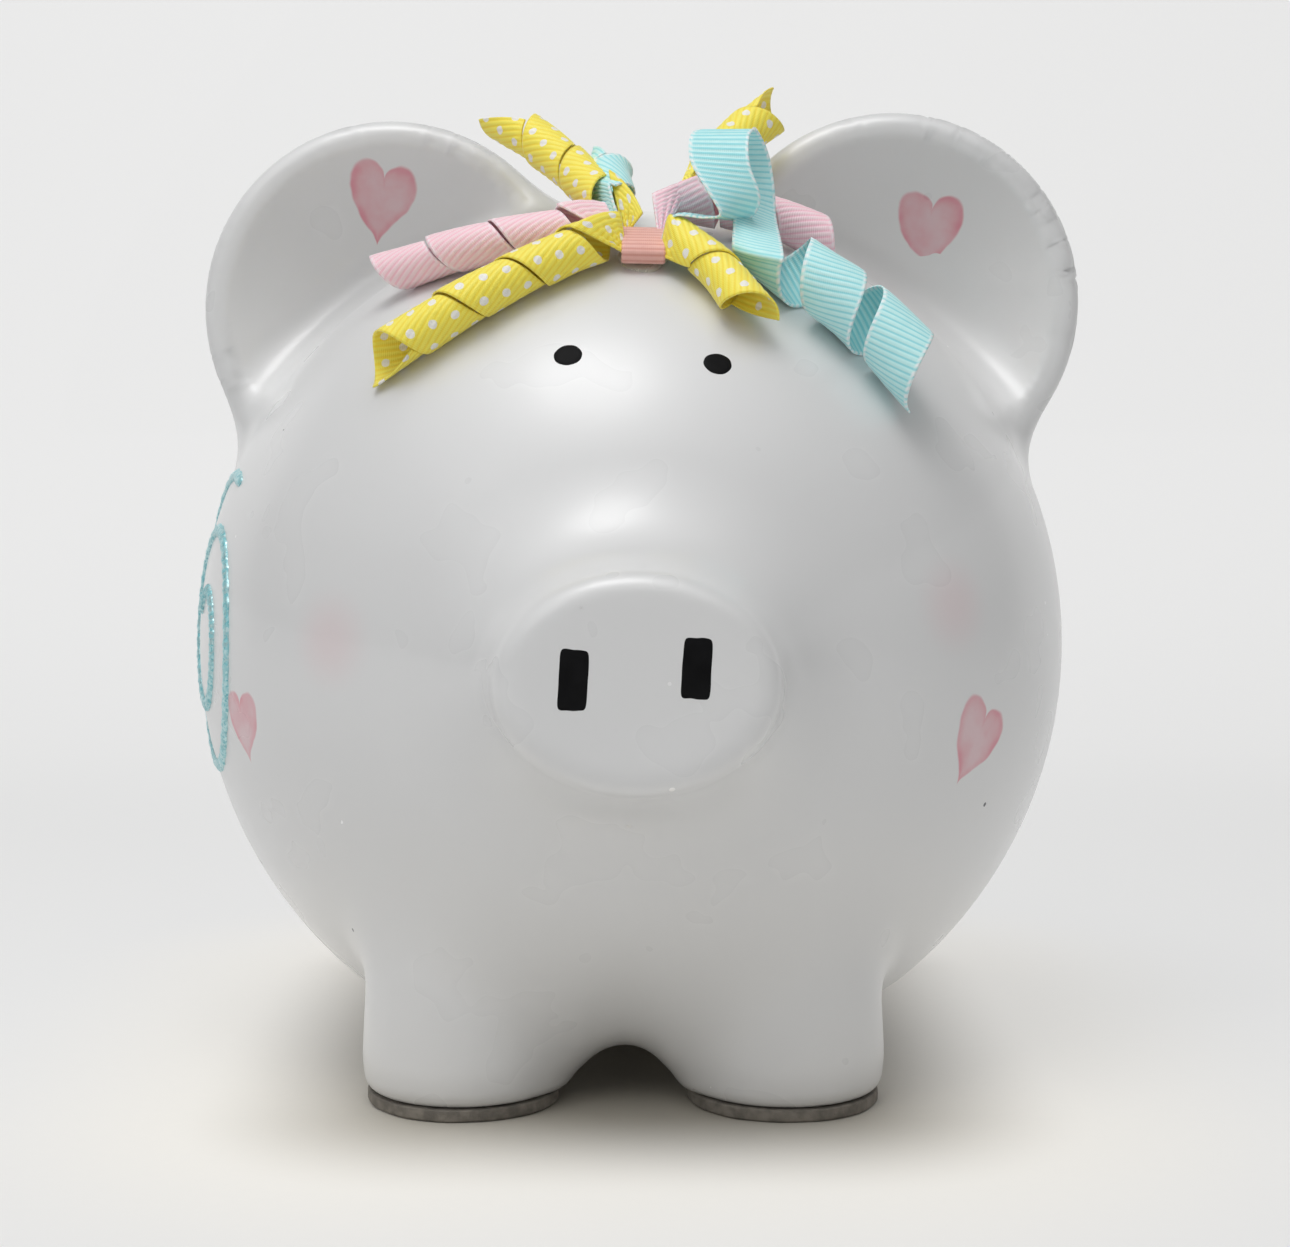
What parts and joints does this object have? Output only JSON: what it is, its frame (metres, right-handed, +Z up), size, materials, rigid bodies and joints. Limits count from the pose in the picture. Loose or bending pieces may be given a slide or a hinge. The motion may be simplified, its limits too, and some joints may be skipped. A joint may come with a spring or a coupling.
{
  "type": "piggy bank",
  "caption": "Glazed ceramic pig money bank: round hollow body, oval snout, dished ears, short legs, coin slot on the back, belly stopper and a curled ribbon bow on the forehead.",
  "frame": {"origin": "on the table under the middle of the pig's length and width", "axes": "+Z up; the pig faces -Y and its tail points to +Y; +X is the pig's left"},
  "size_m": [0.1623, 0.1899, 0.1793],
  "materials": {
    "white_glaze": "glossy white glaze with painted pink, black and aqua decoration",
    "foot_pad": "matt dark grey",
    "yellow_grosgrain": "ribbed ribbon, yellow with small white dots",
    "pink_grosgrain": "ribbed pink ribbon with pale stitched edges",
    "aqua_grosgrain": "ribbed aqua ribbon with white stitched edges",
    "salmon_grosgrain": "ribbed salmon pink ribbon",
    "thread": "white cotton",
    "hot_melt_glue": "clear to milky hot-melt glue",
    "stopper_rubber": "matt off-white soft rubber"
  },
  "bodies": {
    "bank": {"body_shell": "white_glaze", "left_ear": "white_glaze", "right_ear": "white_glaze", "tail": "white_glaze", "front_left_foot_pad": "foot_pad", "front_right_foot_pad": "foot_pad", "rear_left_foot_pad": "foot_pad", "rear_right_foot_pad": "foot_pad", "yellow_ribbon_front": "yellow_grosgrain", "yellow_ribbon_back": "yellow_grosgrain", "pink_ribbon": "pink_grosgrain", "aqua_ribbon": "aqua_grosgrain", "centre_band": "salmon_grosgrain", "binding_thread": "thread", "glue_dab": "hot_melt_glue"},
    "stopper": {"stopper": "stopper_rubber"}
  },
  "joints": [
    {"name": "stopper_pull", "type": "slide", "parent": "bank", "child": "stopper", "axis": [0, 0, -1], "range_m": [0, 0.03]}
  ]
}
